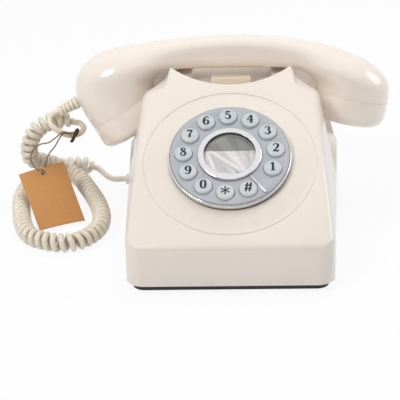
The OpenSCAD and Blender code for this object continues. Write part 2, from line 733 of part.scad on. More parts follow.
// Stations of the handset's body: outer point, inner point, half width and squareness
stations = [
    [mouth_out, mouth_in, cup_r, 2],
    [[-113.5, -45], [-58.6, -23.5], 28.4, 2],
    [[-118.5, -32], [-58.2, -21], 28.4, 2],
    [[-118.5, -20], [-57, -19], 28, 2],
    [[-113, -9.5], [-55, -17.5], 27, 2],
    [[-103, -1.5], [-52.5, -16], 25, 2],
    [[-88, 3.5], [-49.5, -14.8], 22, 2.1],
    [[-70, 6.5], [-45, -13.8], 18, 2.3],
    [[-48, 9], [-37, -13], 14.8, 2.6],
    [[-24, 11.2], [-20, -12.6], 13.6, 2.9],
    [[0, 12], [0, -12.5], 13.4, 3],
    [[24, 11.2], [20, -12.6], 13.6, 2.9],
    [[48, 8.6], [38, -13], 14.8, 2.6],
    [[70, 4.2], [46.5, -13.8], 18, 2.3],
    [[88, -2.2], [52, -15.5], 22, 2.1],
    [[102, -8.5], [57, -18], 25.4, 2],
    [[112.5, -16.5], [60.5, -20.5], 27.4, 2],
    [[118.5, -26], [62.8, -23.5], 28, 2],
    [[119.2, -34], [63.4, -26], 28, 2],
    [ear_out, ear_in, cup_r, 2]];

body_sides = 28;
body_steps = 2;      // rings between one station and the next

// A smooth value between p1 and p2, with p0 and p3 on either side
function smooth(p0, p1, p2, p3, u) = 0.5 * (2 * p1 + (p2 - p0) * u + (2 * p0 - 5 * p1 + 4 * p2 - p3) * u * u
    + (3 * p1 - p0 - 3 * p2 + p3) * u * u * u);
function pick(list, i) = list[max(0, min(len(list) - 1, i))];
function between(list, f) = let (i = floor(min(f, len(list) - 1.001)), u = f - i)
    [for (k = [0 : len(list[0]) - 1]) smooth(pick(list, i - 1)[k], pick(list, i)[k], pick(list, i + 1)[k], pick(list, i + 2)[k], u)];
function power(v, p) = sign(v) * pow(abs(v), p);
// One ring of the body round station s
function body_ring(s) = [for (j = [0 : body_sides - 1]) let (
    a = 360 * j / body_sides, mid = (s[0] + s[1]) / 2, half = (s[0] - s[1]) / 2,
    q = mid + half * power(cos(a), 2 / s[3])) [q[0], -s[2] * power(sin(a), 2 / s[3]), q[1]]];

// A closed skin over rings that have the same number of points
module skin(rings) {
    n = len(rings[0]);
    m = len(rings);
    polyhedron([for (r = rings) for (p = r) p], concat(
        [[for (j = [0 : n - 1]) j]],
        [for (i = [0 : m - 2]) for (j = [0 : n - 1]) each [
            [i * n + j, (i + 1) * n + j, (i + 1) * n + (j + 1) % n],
            [i * n + j, (i + 1) * n + (j + 1) % n, i * n + (j + 1) % n]]],
        [[for (j = [n - 1 : -1 : 0]) (m - 1) * n + j]]));
}

cup_bore = 8;        // depth of the capsule's seat in each cup
module handset_body() color(cream) difference() {
    handset() skin([for (i = [0 : body_steps * (len(stations) - 1)]) body_ring(between(stations, i / body_steps))]);
    at_mouth() translate([0, 0, -cup_bore]) cylinder(r = cup_r - cup_wall, h = cup_bore + over);
    at_ear() translate([0, 0, -cup_bore]) cylinder(r = cup_r - cup_wall, h = cup_bore + over);
}

hole_r = 1;
hole_step = 4;       // from one ring of holes to the next
mouth_edge = 6;      // radius of the mouthpiece cap's edge
ear_edge = 9;        // radius of the earpiece cap's edge

// A screwed cap over a cup: an outer skirt, a rounded face and rings of holes through it
module cup_cap(depth, edge, holes) difference() {
    rotate_extrude() difference() {
        square([cup_r, depth]);
        corner_sliver([cup_r, 0], [cup_r, depth], [0, depth], edge);
        translate([-over, -over]) square([cup_r - cup_wall + over, depth - edge / 2 - cup_wall + over]);
    }
    for (ring = [1 : holes], i = [0 : 6 * ring - 1]) rotate(60 * i / ring) translate([hole_step * ring, 0, 0])
        cylinder(r = hole_r, h = depth + over, $fn = 16);
}

module mouthpiece_cap() color(cream) at_mouth() translate([0, 0, snug]) cup_cap(mouth_cap_d, mouth_edge, 2);
module earpiece_cap() color(cream) at_ear() translate([0, 0, snug]) cup_cap(ear_cap_d, ear_edge, 2);

microphone_t = 12;
microphone_r = 14;   // radius of its raised face
receiver_t = 14;
receiver_r = 18;
capsule_rise = 2;

module capsule(depth, face) rotate_extrude() {
    translate([0, -cup_bore + slip]) square([cup_r - cup_wall - slip, depth]);
    translate([0, -cup_bore + slip + depth]) square([face, capsule_rise]);
}
module microphone_capsule() color("#55575c") at_mouth() capsule(microphone_t, microphone_r);
module receiver_capsule() color("#55575c") at_ear() capsule(receiver_t, receiver_r);

// ---- Cord, plug and tag ----

relief_base = on_handset([-117.7, -0.74, -37.43]);
relief_tip = on_handset([-132, -1.61, -44.12]);
relief_ribs = 4;
relief_r = 5;        // radius at the handset
relief_end_r = 3.6;
relief_core_r = 2.6;
relief_slot = 1.2;   // width of the slots between the ribs
relief_web = 3.2;    // width of the web that joins the ribs

module strain_relief() color(ivory) along(relief_base, relief_tip, [0, 0, 1]) difference() {
    length = norm(relief_tip - relief_base);
    cylinder(r1 = relief_r, r2 = relief_end_r, h = length);
    for (i = [1 : relief_ribs]) translate([0, 0, i * length / (relief_ribs + 1) - relief_slot / 2])
        difference() {
            cylinder(r = relief_r + over, h = relief_slot);
            translate([-relief_r - 2 * over, -relief_web / 2, -over])
                cube([2 * relief_r + 4 * over, relief_web, relief_slot + 2 * over]);
            cylinder(r = relief_core_r, h = relief_slot);
        }
}

// Routes of the cord: from the relief to the curls, the curls, and from the curls to the plug
lead_route = [relief_tip, relief_tip + 0.35 * (relief_tip - relief_base), [-139.5, 50, 68.5], [-136, 46.5, 64.5],
    [-129, 45.5, 60], [-122.5, 47.5, 57.5], [-116.5, 52, 57.5], [-114.5, 58, 59.5], [-117.75, 62.56, 61.27], [-121.5, 62.2, 62.2]];
curl_route = [[-121.5, 62.2, 62.2], [-134, 61, 65.3], [-142, 60, 63.3], [-149.5, 59, 59], [-155, 59, 52], [-158.5, 61, 41.5],
    [-158, 66, 31], [-151, 74, 24.5], [-141, 82, 17.5], [-131, 85, 10], [-122, 77, 7.5], [-116, 63, 7.5], [-110, 48, 7.5],
    [-103.5, 29, 7.5], [-99, 9, 7.5], [-99, -10, 7.5], [-105, -25, 7.5], [-114.5, -34.5, 7.5], [-126, -36, 7.5],
    [-138, -32, 7.5], [-149.5, -23, 7.5], [-157, -4, 7.5], [-161, 17, 7.5], [-164, 38, 7.5], [-163, 58, 7.5],
    [-158, 76, 7.5], [-150, 92, 7.5], [-138, 103, 7.5], [-124, 105, 7.5], [-112, 100, 7.5]];
cord_in = [-jack_mouth_x - plug_out, jack_y, jack_z + jack_h / 2];      // where the cord enters its plug
tail_route = [[-112, 100, 7.5], [-109.2, 98.83, 7.5], [-106, 95, 5], [-104, 90, 3], [-100.5, 86, 2.7], [-96, 81.5, 2.8],
    [-92.5, 77.7, 4.6], cord_in + [-3.8, 0.7, -1], cord_in + [-1.8, 0, 0], cord_in];

// A tube of diameter d swept along a route; its end faces stand square to the route
route_up = [0, 0, 1];          // a direction that no stretch of the routes follows
function route_ring(route, i, d, sides) = let (
    n = len(route), p = route[i],
    t = unit(route[min(i + 1, n - 1)] - route[max(i - 1, 0)]),
    u = unit(cross(t, route_up)), v = cross(t, u))
    [for (j = [0 : sides - 1]) p + d / 2 / cos(180 / sides) * (cos(360 * j / sides) * u + sin(360 * j / sides) * v)];
module sweep(route, d, sides) skin([for (i = [0 : len(route) - 1]) route_ring(route, i, d, sides)]);

module cord_lead() color(ivory) sweep(lead_route, wire_d, 8);
module cord_coil() color(ivory) sweep(curl_route, curl_d, 12);
module cord_tail() color(ivory) sweep(tail_route, wire_d, 8);

module handset_plug() color(lilac, 0.6) translate(cord_in + [0, -plug_w / 2, -plug_h / 2])
    cube([plug_in + plug_out, plug_w, plug_h]);

tag_foot = [-125, 5, 3];
tag_head = [-147.5, 42, 30];
tag_side = [1, 0.28, 0];
tag_hole_r = 2.6;
tag_hole_in = 7;     // from the tag's edge to the hole's middle

module swing_tag() color(kraft) along(tag_foot, tag_head, tag_side) rotate([90, 0, 0])
    translate([0, 0, -tag_t / 2]) linear_extrude(tag_t) difference() {
        translate([-tag_w / 2, 0]) square([tag_w, tag_l]);
        translate([0, tag_l - tag_hole_in]) circle(tag_hole_r);
    }

twine_route = [[-122.5, 47.5, 56.2], [-133, 44, 47], [-142.5, 41, 37], [-146.4, 40.1, 28.6]];
module tag_string() color("#6b4a2c") sweep(twine_route, twine_d, 8);

case_cover();
base_pan();
rubber_feet();
cover_screws();
dial_rim();
dial_plate();
finger_stop();
centre_ring();
label_card();
label_window();
keypad_frame();
keypad_board();
keypad_membrane();
key_1();
key_2();
key_3();
key_4();
key_5();
key_6();
key_7();
key_8();
key_9();
key_0();
key_star();
key_hash();
hook_bar();
hook_switch();
main_board();
ringer_bracket();
ringer_coil();
ringer_gongs();
ringer_clapper();
line_jack();
handset_jack();
handset_body();
mouthpiece_cap();
earpiece_cap();
microphone_capsule();
receiver_capsule();
strain_relief();
cord_lead();
cord_coil();
cord_tail();
handset_plug();
swing_tag();
tag_string();
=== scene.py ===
# A cream desk telephone with twelve push keys set in a ring, its handset on the cradle, a curly
# cord lying beside it and a card tag tied to the cord. Metres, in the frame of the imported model.
import json
import math

import bpy
from mathutils import Matrix, Vector

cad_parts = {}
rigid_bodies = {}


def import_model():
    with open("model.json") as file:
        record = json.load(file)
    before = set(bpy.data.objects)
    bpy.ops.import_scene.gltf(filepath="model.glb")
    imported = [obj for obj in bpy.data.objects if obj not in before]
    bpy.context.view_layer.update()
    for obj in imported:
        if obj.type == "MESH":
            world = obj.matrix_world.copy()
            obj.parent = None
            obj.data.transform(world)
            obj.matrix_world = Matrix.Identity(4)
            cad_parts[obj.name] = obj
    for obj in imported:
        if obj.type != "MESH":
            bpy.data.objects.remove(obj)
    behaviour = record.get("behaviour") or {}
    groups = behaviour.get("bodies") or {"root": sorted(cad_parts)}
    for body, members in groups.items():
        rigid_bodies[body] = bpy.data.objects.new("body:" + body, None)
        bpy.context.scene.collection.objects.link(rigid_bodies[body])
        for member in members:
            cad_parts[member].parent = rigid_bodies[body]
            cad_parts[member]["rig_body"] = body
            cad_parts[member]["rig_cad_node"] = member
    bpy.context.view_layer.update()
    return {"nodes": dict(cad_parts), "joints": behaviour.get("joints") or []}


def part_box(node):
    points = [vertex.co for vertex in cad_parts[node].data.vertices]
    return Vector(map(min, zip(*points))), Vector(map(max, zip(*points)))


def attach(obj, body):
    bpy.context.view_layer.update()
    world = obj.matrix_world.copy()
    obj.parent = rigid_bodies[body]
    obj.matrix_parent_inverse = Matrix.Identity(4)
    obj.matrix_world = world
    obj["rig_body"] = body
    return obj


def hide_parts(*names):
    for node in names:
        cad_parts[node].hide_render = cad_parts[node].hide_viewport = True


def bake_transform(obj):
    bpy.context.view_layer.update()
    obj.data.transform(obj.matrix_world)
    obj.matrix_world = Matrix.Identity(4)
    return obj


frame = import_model()
nodes = frame["nodes"]
scene = bpy.context.scene
bpy.ops.object.select_all(action="DESELECT")


# ---- Camera ----
# A long lens a little above the telephone, turned slightly round its middle and leaning a touch
# to one side, so that the front wall, the sloping face and the top of the handset all show.
look_down = math.radians(24.981)
turn_round = math.radians(2.745)
lean = math.radians(-1.863)
distance = 1.1015
aim = Vector((-0.02376, -0.044, 0.04481))
turn_centre = Vector((0, -0.004, 0))
film_width = 36
lens_in_film_widths = 1549 / 400

camera = bpy.data.objects.new("camera", bpy.data.cameras.new("camera"))
camera.data.sensor_width = film_width
camera.data.lens = film_width * lens_in_film_widths
away = Vector((0, -math.cos(look_down), math.sin(look_down)))
camera.matrix_world = (
    Matrix.Translation(turn_centre)
    @ Matrix.Rotation(turn_round, 4, "Z")
    @ Matrix.Translation(-turn_centre)
    @ Matrix.Translation(aim + distance * away)
    @ Matrix.Rotation(math.pi / 2 - look_down, 4, "X")
    @ Matrix.Rotation(lean, 4, "Z")
)
scene.collection.objects.link(camera)
scene.camera = camera


# ---- Curly cord ----
# One glossy strand of ivory vinyl. It leaves the handset's strain relief in a slack turn, winds in
# tight curls down to the table and round a long loop, and runs straight again into its plug.
lead_route = [
    (-0.132, 0.054, 0.075), (-0.137, 0.0533, 0.0728), (-0.1395, 0.05, 0.0685),
    (-0.136, 0.0465, 0.0645), (-0.129, 0.0455, 0.06), (-0.1225, 0.0475, 0.0575),
    (-0.1165, 0.052, 0.0575), (-0.1145, 0.058, 0.0595), (-0.11775, 0.06256, 0.06127),
    (-0.1215, 0.0622, 0.0622),
]
curl_route = [
    (-0.1215, 0.0622, 0.0622), (-0.134, 0.061, 0.0653), (-0.142, 0.06, 0.0633),
    (-0.1495, 0.059, 0.059), (-0.155, 0.059, 0.052), (-0.1585, 0.061, 0.0415),
    (-0.158, 0.066, 0.031), (-0.151, 0.074, 0.0245), (-0.141, 0.082, 0.0175),
    (-0.131, 0.085, 0.01), (-0.122, 0.077, 0.0075), (-0.116, 0.063, 0.0075),
    (-0.11, 0.048, 0.0075), (-0.1035, 0.029, 0.0075), (-0.099, 0.009, 0.0075),
    (-0.099, -0.01, 0.0075), (-0.105, -0.025, 0.0075), (-0.1145, -0.0345, 0.0075),
    (-0.126, -0.036, 0.0075), (-0.138, -0.032, 0.0075), (-0.1495, -0.023, 0.0075),
    (-0.157, -0.004, 0.0075), (-0.161, 0.017, 0.0075), (-0.164, 0.038, 0.0075),
    (-0.163, 0.058, 0.0075), (-0.158, 0.076, 0.0075), (-0.15, 0.092, 0.0075),
    (-0.138, 0.103, 0.0075), (-0.124, 0.105, 0.0075), (-0.112, 0.1, 0.0075),
]
tail_route = [
    (-0.112, 0.1, 0.0075), (-0.108, 0.0967, 0.0063), (-0.1044, 0.0916, 0.0051),
    (-0.1007, 0.0866, 0.0048), (-0.0968, 0.0816, 0.0054), (-0.0928, 0.0773, 0.0068),
    (-0.0898, 0.0749, 0.0081), (-0.08724, 0.074, 0.0086), (-0.08544, 0.074, 0.0086),
]
strand_d = 0.0045
curl_d = 0.0143
curl_pitch = 0.0059
steps_per_turn = 14
plain_step = 0.002


def smooth_line(route, spacing):
    """Evenly spaced points on a smooth curve through a route."""
    points = [Vector(p) for p in route]
    parts = 24
    dense = []
    for i in range(len(points) - 1):
        before = points[max(i - 1, 0)]
        start = points[i]
        end = points[i + 1]
        after = points[min(i + 2, len(points) - 1)]
        for k in range(parts):
            u = k / parts
            dense.append(0.5 * (
                2 * start
                + (end - before) * u
                + (2 * before - 5 * start + 4 * end - after) * u * u
                + (3 * start - before - 3 * end + after) * u ** 3
            ))
    dense.append(points[-1])
    reach = [0]
    for a, b in zip(dense, dense[1:]):
        reach.append(reach[-1] + (b - a).length)
    count = max(2, round(reach[-1] / spacing))
    line = []
    i = 0
    for k in range(count + 1):
        want = reach[-1] * k / count
        while i < len(dense) - 2 and reach[i + 1] < want:
            i += 1
        part = (want - reach[i]) / max(reach[i + 1] - reach[i], 1e-9)
        line.append(dense[i].lerp(dense[i + 1], part))
    return line


def curls(line, radius, pitch, turned=0):
    """The strand's own path, wound round a line, with its end turns drawn in to the line."""
    step = (line[1] - line[0]).length
    side = Vector((0, 0, 1)).cross(line[1] - line[0]).normalized()
    last = len(line) - 1
    drawn_in_over = 1.6 * pitch
    wound = []
    for i, p in enumerate(line):
        ahead = (line[min(i + 1, last)] - line[max(i - 1, 0)]).normalized()
        side = (side - side.dot(ahead) * ahead).normalized()
        angle = turned + 2 * math.pi * i * step / pitch
        from_end = min(1, min(i, last - i) * step / drawn_in_over)
        out = radius * from_end ** 2 * (3 - 2 * from_end)
        wound.append(p + out * (math.cos(angle) * side + math.sin(angle) * ahead.cross(side)))
    return wound


def pick(*pieces):
    """Selects these pieces and no others, with the first one active."""
    bpy.ops.object.select_all(action="DESELECT")
    for piece in pieces:
        piece.select_set(True)
    bpy.context.view_layer.objects.active = pieces[0]


def strand(name, line, diameter, sides=3, widths=None):
    """A round strand along a line, as a mesh. Its width may change on the way."""
    data = bpy.data.curves.new(name, "CURVE")
    data.dimensions = "3D"
    data.bevel_depth = diameter / 2
    data.bevel_resolution = sides
    data.use_fill_caps = True
    spline = data.splines.new("POLY")
    spline.points.add(len(line) - 1)
    for point, place, width in zip(spline.points, line, widths or [1] * len(line)):
        point.co = (*place, 1)
        point.radius = width
    piece = bpy.data.objects.new(name, data)
    scene.collection.objects.link(piece)
    pick(piece)
    bpy.ops.object.convert(target="MESH")
    bpy.ops.object.shade_smooth()
    return piece


def shader_of(material):
    """The material's main shader, once it is made of nodes."""
    material.use_nodes = True
    return material.node_tree.nodes["Principled BSDF"]


def added(tree, kind, values=(), **settings):
    """A new shader node with its settings and the values of its inputs."""
    node = tree.nodes.new("ShaderNode" + kind)
    for name, setting in settings.items():
        setattr(node, name, setting)
    for name, value in dict(values).items():
        node.inputs[name].default_value = value
    return node


def first_of(tree, kind):
    """The first node of a kind in a material."""
    return next(node for node in tree.nodes if node.type == kind)


def noise(tree, place, values):
    """A noise texture laid out in the object's own place. Gives its output."""
    texture = added(tree, "TexNoise", values)
    tree.links.new(place.outputs["Object"], texture.inputs["Vector"])
    return texture.outputs["Fac"]


def carried(tree, value, low, high, from_low=0, from_high=1, way="LINEAR"):
    """A value carried over from one range to another. Gives its output."""
    ends = {"From Min": from_low, "From Max": from_high, "To Min": low, "To Max": high}
    node = added(tree, "MapRange", ends, interpolation_type=way)
    tree.links.new(value, node.inputs["Value"])
    return node.outputs["Result"]


def toned(tree, value, deep, colour, deep_until=0, colour_from=1):
    """A colour between two tones, chosen by a value. Gives its output."""
    tones = added(tree, "ValToRGB")
    low, high = tones.color_ramp.elements
    low.position = deep_until
    low.color = (*deep, 1)
    high.position = colour_from
    high.color = (*colour, 1)
    tree.links.new(value, tones.inputs["Fac"])
    return tones.outputs["Color"]


def moulded(name, colour, deep, rough=0.25, grain=900, relief=0.02, coat=0.0, glow=0.0):
    """Moulded plastic: two near tones in soft clouds, uneven gloss and a fine orange-peel skin.

    The glow is the share of light that seeps in under the surface.
    """
    material = bpy.data.materials.new(name)
    shader = shader_of(material)
    tree = material.node_tree
    place = added(tree, "TexCoord")
    clouds = noise(tree, place, {"Scale": 14, "Detail": 4})
    tree.links.new(toned(tree, clouds, deep, colour, 0.3, 0.62), shader.inputs["Base Color"])
    wear = noise(tree, place, {"Scale": 60, "Detail": 6})
    tree.links.new(carried(tree, wear, rough * 0.8, rough * 1.25), shader.inputs["Roughness"])
    skin = noise(tree, place, {"Scale": grain})
    bump = added(tree, "Bump", {"Strength": relief, "Distance": 0.0004})
    tree.links.new(skin, bump.inputs["Height"])
    tree.links.new(bump.outputs["Normal"], shader.inputs["Normal"])
    for socket, value in (
        ("Coat Weight", coat), ("Coat Roughness", 0.08), ("Subsurface Weight", glow),
        ("Subsurface Radius", (0.004, 0.003, 0.002)), ("Subsurface Scale", 0.5),
    ):
        shader.inputs[socket].default_value = value
    return material


def taken(node):
    """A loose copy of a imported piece, in edit mode, with its faces sewn together and selected."""
    piece = nodes[node].copy()
    piece.data = nodes[node].data.copy()
    piece.name = node + "_finish"
    piece.parent = None
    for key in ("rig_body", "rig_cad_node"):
        if key in piece:
            del piece[key]
    scene.collection.objects.link(piece)
    pick(piece)
    bpy.ops.object.mode_set(mode="EDIT")
    bpy.ops.mesh.select_all(action="SELECT")
    bpy.ops.mesh.remove_doubles(threshold=0.00001)
    return piece


def put_in_place(piece, node, material, smooth_below):
    """Shades a worked copy smooth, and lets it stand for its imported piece."""
    bpy.ops.object.shade_smooth_by_angle(angle=math.radians(smooth_below))
    piece.data.materials.clear()
    piece.data.materials.append(material)
    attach(piece, nodes[node]["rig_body"])
    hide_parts(node)
    return piece


def dressed(node, material, edge, segments=2):
    """A node's own form, with its edges softened and its curves shaded smooth."""
    sharp = 32
    piece = taken(node)
    bpy.ops.mesh.dissolve_limited(angle_limit=math.radians(0.5))
    bpy.ops.object.mode_set(mode="OBJECT")
    soften = piece.modifiers.new("soften", "BEVEL")
    soften.width = edge
    soften.segments = segments
    soften.limit_method = "ANGLE"
    soften.angle_limit = math.radians(sharp)
    bpy.ops.object.modifier_apply(modifier="soften")
    return put_in_place(piece, node, material, sharp)


cord_vinyl = moulded(
    "cord_vinyl", (0.84, 0.77, 0.64), (0.77, 0.695, 0.56), rough=0.25, coat=0.3, glow=0.06
)
relief_vinyl = moulded(
    "relief_vinyl", (0.88, 0.81, 0.66), (0.83, 0.75, 0.58), rough=0.35, coat=0.1, glow=0.05
)
plug_clear = moulded(
    "plug_clear", (0.88, 0.85, 0.78), (0.82, 0.79, 0.72), rough=0.15, coat=0.4, glow=0.2
)

relief_finish = dressed("strain_relief", relief_vinyl, edge=0.00025)
plug_finish = dressed("handset_plug", plug_clear, edge=0.0006, segments=3)

lead_line = smooth_line(lead_route, plain_step)
curl_line = smooth_line(curl_route, curl_pitch / steps_per_turn)
curled_line = curls(curl_line, (curl_d - strand_d) / 2, curl_pitch)
tail_line = smooth_line(tail_route, plain_step)
cord_line = lead_line + curled_line[1:] + tail_line[1:]
curly_cord = strand("curly_cord", cord_line, strand_d)
curly_cord.data.materials.append(cord_vinyl)
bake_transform(curly_cord)
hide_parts("cord_lead", "cord_coil", "cord_tail")


# ---- Twine and tag ----
# A loop of brown two-ply twine is tied round the slack turn of the cord, with a whipped knot and
# frayed ends, and runs through the hole of a stiff card tag that slants across the cord's loop.
tag_across = Vector((1, 0.45, 0.03)).normalized()
tag_lean = Vector((-0.03, 0.037, 0.027))
tag_along = (tag_lean - tag_lean.dot(tag_across) * tag_across).normalized()
tag_out = tag_across.cross(tag_along)
foot_overhang = 0.0018
tag_foot = Vector((-0.1288, 0.0036, 0.0046)) - foot_overhang * tag_along
tag_width = 0.0358
tag_length = 0.0536
tag_thick = 0.0007
tag_hole = 0.0024
hole_below_edge = 0.0052
hole_at = tag_length - hole_below_edge
tag_curl = 0.0011
tag_twist = 0.0045
twist_at_hole = 0.3 * tag_twist
hole_place = tag_foot + hole_at * tag_along + twist_at_hole * tag_out
twine_d = 0.0012
knot_place = Vector((-0.1189, 0.0448, 0.0606))
twine_route = [
    knot_place, (-0.1237, 0.0432, 0.0606), (-0.1282, 0.0431, 0.0613),
    (-0.1302, 0.0429, 0.0592), (-0.1323, 0.0422, 0.0563), (-0.1355, 0.0416, 0.051),
    (-0.1396, 0.0418, 0.046), (-0.142, 0.0424, 0.0415), (-0.1431, 0.0429, 0.0372),
    (-0.1446, 0.0432, 0.0325),
    hole_place - 0.0028 * tag_out + 0.0024 * tag_along,
    hole_place - 0.0014 * tag_out + 0.0002 * tag_along,
    hole_place + 0.0014 * tag_out - 0.0006 * tag_along,
    hole_place + 0.003 * tag_out + 0.0012 * tag_along,
    (-0.1493, 0.0367, 0.0338), (-0.1523, 0.0368, 0.0373), (-0.1542, 0.0374, 0.0422),
    (-0.1532, 0.038, 0.0466), (-0.1509, 0.0388, 0.0508), (-0.1457, 0.0396, 0.0539),
    (-0.1397, 0.0402, 0.0549), (-0.1336, 0.0407, 0.0591), (-0.1286, 0.0416, 0.0627),
    (-0.1237, 0.0416, 0.0622), (-0.1199, 0.0428, 0.0624),
]
ply_d = 0.00068
ply_turn = 0.0028


def joined(pieces, name):
    """Several meshes as one piece."""
    pick(*pieces)
    if len(pieces) > 1:
        bpy.ops.object.join()
    pieces[0].name = name
    return pieces[0]


def printed_over(material, share, colour):
    """Lays a second colour over a material's tones, as much as the share says."""
    tree = material.node_tree
    mixed = added(tree, "Mix", data_type="RGBA")
    mixed.inputs["B"].default_value = (*colour, 1)
    tree.links.new(share, mixed.inputs["Factor"])
    tree.links.new(first_of(tree, "VALTORGB").outputs["Color"], mixed.inputs["A"])
    tree.links.new(mixed.outputs["Result"], shader_of(material).inputs["Base Color"])


def fibrous(name, colour, deep, rough, size, relief):
    """Pressed or twisted fibre: fine specks of a darker tone, and a rough dry skin."""
    material = moulded(name, colour, deep, rough=rough, grain=size, relief=relief)
    tree = material.node_tree
    looks = {"Scale": size * 0.9, "Detail": 8, "Roughness": 0.75}
    specks = noise(tree, first_of(tree, "TEX_COORD"), looks)
    share = carried(tree, specks, 0, 0.55, 0.52, 0.75)
    printed_over(material, share, [tone * 0.62 for tone in deep])
    return material


twine_brown = fibrous("twine_brown", (0.33, 0.23, 0.15), (0.22, 0.145, 0.085), 0.8, 2200, 0.5)
knot_brown = fibrous("knot_brown", (0.13, 0.055, 0.02), (0.05, 0.02, 0.008), 0.8, 2600, 0.5)
kraft_card = fibrous("kraft_card", (0.62, 0.3, 0.105), (0.56, 0.26, 0.085), 0.75, 700, 0.35)

twine_step = 0.0003
twine_line = smooth_line(twine_route, twine_step)
plies = [
    strand("ply", curls(twine_line, (twine_d - ply_d) / 2, ply_turn, turned), ply_d, sides=1)
    for turned in (0, math.pi)
]
tag_twine = joined(plies, "tag_twine")
tag_twine.data.materials.append(twine_brown)
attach(tag_twine, "handset")
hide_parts("tag_string")

# The knot is whipped round the cord's slack turn, and its ends are teased out into loose fibres.
whip_top = Vector((-0.1172, 0.0452, 0.0641))
whip_foot = Vector((-0.1204, 0.0432, 0.0577))
whip_up = (whip_top - whip_foot).normalized()
whip_radius = 0.0013
whip_turn = 0.00105
whip_d = 0.0011
whip_step = 0.00012
fray_end = Vector((-0.1224, 0.0428, 0.0548))
fray_wide = Vector((0.86, 0.1, -0.5))
fray_deep = Vector((0.05, 1, 0.05))
fibre_count = 16
fibre_turn = 2.4
fibre_d = 0.0005
fibre_step = 0.0006

whip_line = curls(smooth_line([whip_top, knot_place, whip_foot], whip_step), whip_radius, whip_turn)
bits = [strand("whip", whip_line, whip_d, sides=1)]
for i in range(fibre_count):
    turn = fibre_turn * i
    spread = 0.0004 + 0.0016 * (i % 4) / 3
    fan = spread * (math.cos(turn) * fray_wide + math.sin(turn) * fray_deep)
    start = whip_foot + 0.35 * fan + 0.001 * whip_up
    tip = fray_end + fan - (0.0003 * (i % 5)) * whip_up
    middle = (start + tip) / 2 + 0.35 * fan
    bits.append(strand("fibre", smooth_line([start, middle, tip], fibre_step), fibre_d, sides=1))
twine_knot = joined(bits, "twine_knot")
twine_knot.data.materials.append(knot_brown)
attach(twine_knot, "handset")

# The card is punched near its upper edge, has worn edges, bows gently both ways, and lifts at its
# upper right corner.
bpy.ops.object.select_all(action="DESELECT")
bpy.ops.mesh.primitive_grid_add(x_subdivisions=12, y_subdivisions=18, size=1, location=(0, 0, 0))
tag_card = bpy.context.object
tag_card.name = "tag_card"
tag_card.data.transform(Matrix.Diagonal((tag_width, tag_length, 1, 1)))
thick = tag_card.modifiers.new("thick", "SOLIDIFY")
thick.thickness = tag_thick
thick.offset = 0
bpy.ops.object.modifier_apply(modifier="thick")
bpy.ops.mesh.primitive_cylinder_add(
    vertices=40, radius=tag_hole, depth=0.01, location=(0, hole_at - tag_length / 2, 0)
)
punch = bpy.context.object
pick(tag_card)
punched = tag_card.modifiers.new("punched", "BOOLEAN")
punched.operation = "DIFFERENCE"
punched.object = punch
bpy.ops.object.modifier_apply(modifier="punched")
bpy.data.objects.remove(punch)
worn = tag_card.modifiers.new("worn", "BEVEL")
worn.width = 0.00015
worn.segments = 2
worn.limit_method = "ANGLE"
bpy.ops.object.modifier_apply(modifier="worn")
for corner in tag_card.data.vertices:
    x, y, z = corner.co
    across = x / tag_width + 0.5
    up = y / tag_length + 0.5
    bow = (1 - (2 * across - 1) ** 2) + 0.6 * math.sin(math.pi * up)
    off = z + tag_curl * (bow - 1) + tag_twist * across * up ** 2
    corner.co = tag_foot + x * tag_across + tag_length * up * tag_along + off * tag_out
bpy.ops.object.shade_smooth_by_angle(angle=math.radians(30))
tag_card.data.materials.append(kraft_card)
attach(tag_card, "handset")
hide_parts("swing_tag")


# ---- Case ----
# The cover is one thick moulding of glossy cream plastic, with softened edges where the face, the
# horns and the scoops for the handset meet.
shell_cream = moulded(
    "shell_cream", (0.86, 0.785, 0.705), (0.835, 0.755, 0.67), rough=0.3, coat=0.25, glow=0.05
)
dressed("case_cover", shell_cream, edge=0.0008)

hook_ivory = moulded("hook_ivory", (0.8, 0.72, 0.6), (0.75, 0.67, 0.54), rough=0.3, coat=0.2)
dressed("hook_bar", hook_ivory, edge=0.0008, segments=3)


# ---- Base ----
# The black pan closes the case from below and shows as a thin dark strip over the table. Four
# rubber feet and four screws are set into it.
base_black = moulded(
    "base_black", (0.012, 0.012, 0.013), (0.007, 0.007, 0.008), rough=0.5, relief=0.1
)
foot_rubber = moulded(
    "foot_rubber", (0.016, 0.016, 0.016), (0.009, 0.009, 0.009), rough=0.75, relief=0.2
)
dressed("base_pan", base_black, edge=0.0003)
dressed("rubber_feet", foot_rubber, edge=0.0003)


# ---- Inside the case ----
# A circuit board stands on posts at the back, a bell with two plated gongs in the middle, and the
# switch hangs under the cradle. Two sockets open through the walls for the cords.
def bright(name, colour, rough=0.08):
    """Plated metal with a faint haze of fine polishing marks."""
    material = bpy.data.materials.new(name)
    shader = shader_of(material)
    tree = material.node_tree
    marks = noise(tree, added(tree, "TexCoord"), {"Scale": 240, "Detail": 8})
    tree.links.new(carried(tree, marks, rough * 0.6, rough * 1.6), shader.inputs["Roughness"])
    deep = [tone * 0.88 for tone in colour]
    tree.links.new(toned(tree, marks, deep, colour), shader.inputs["Base Color"])
    shader.inputs["Metallic"].default_value = 1
    return material


def coat_node(node, material):
    """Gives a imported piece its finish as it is."""
    mesh = nodes[node].data
    mesh.materials.clear()
    mesh.materials.append(material)


